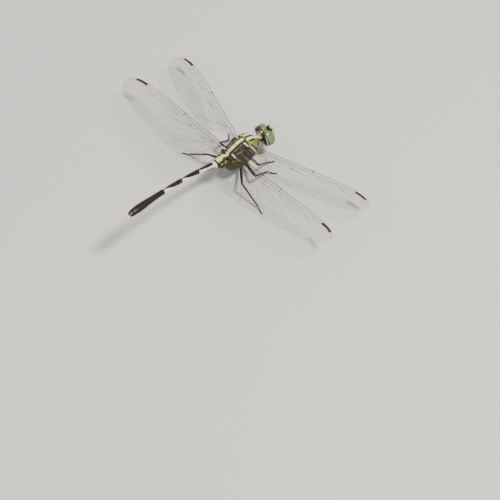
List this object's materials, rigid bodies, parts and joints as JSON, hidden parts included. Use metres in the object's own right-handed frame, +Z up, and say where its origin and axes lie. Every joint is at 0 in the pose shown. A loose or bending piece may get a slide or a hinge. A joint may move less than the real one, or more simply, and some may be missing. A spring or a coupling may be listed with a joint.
{
  "type": "dragonfly",
  "caption": "Life-size perched dragonfly with spread clear wings, big green eyes, striped thorax and slender black and white abdomen",
  "frame": {"origin": "middle of the bounding box on the floor plane, with the animal standing on its feet", "axes": "+Z up, the head points along -Y, the animal's left side is +X; the wings spread along X"},
  "size_m": [0.0658, 0.049, 0.0178],
  "materials": {
    "eye": "smooth shining compound eye, green above, darker below",
    "face": "smooth yellow-green shell of the face and head",
    "head_black": "smooth black shell of the crown, back of the head and feelers",
    "thorax": "green-yellow shell with black stripes and a thin coat of fine hairs",
    "abdomen_base": "green-yellow shell with black rings",
    "abdomen_banded": "black shell with creamy white side marks",
    "abdomen_black": "black shell",
    "cercus": "smooth cream shell",
    "wing": "clear glassy membrane with dark veins and a dark mark near each tip",
    "leg": "brown-black shell with fine spines"
  },
  "bodies": {
    "root": {"abdomen_1": "abdomen_base", "abdomen_10": "abdomen_black", "abdomen_2": "abdomen_base", "abdomen_3": "abdomen_base", "abdomen_4": "abdomen_banded", "abdomen_5": "abdomen_banded", "abdomen_6": "abdomen_banded", "abdomen_7": "abdomen_black", "abdomen_8": "abdomen_black", "abdomen_9": "abdomen_black", "antenna_left": "head_black", "antenna_right": "head_black", "cercus_left": "cercus", "cercus_right": "cercus", "clypeus": "face", "coxa_front_left": "leg", "coxa_front_right": "leg", "coxa_hind_left": "leg", "coxa_hind_right": "leg", "coxa_mid_left": "leg", "coxa_mid_right": "leg", "epiproct": "cercus", "eye_left": "eye", "eye_right": "eye", "femur_front_left": "leg", "femur_front_right": "leg", "femur_hind_left": "leg", "femur_hind_right": "leg", "femur_mid_left": "leg", "femur_mid_right": "leg", "forewing_left": "wing", "forewing_right": "wing", "frons": "face", "head": "face", "hindwing_left": "wing", "hindwing_right": "wing", "labium": "face", "labrum": "face", "occiput": "head_black", "prothorax": "thorax", "tarsus_front_left": "leg", "tarsus_front_right": "leg", "tarsus_hind_left": "leg", "tarsus_hind_right": "leg", "tarsus_mid_left": "leg", "tarsus_mid_right": "leg", "thorax": "thorax", "tibia_front_left": "leg", "tibia_front_right": "leg", "tibia_hind_left": "leg", "tibia_hind_right": "leg", "tibia_mid_left": "leg", "tibia_mid_right": "leg", "vertex": "head_black"}
  },
  "joints": []
}
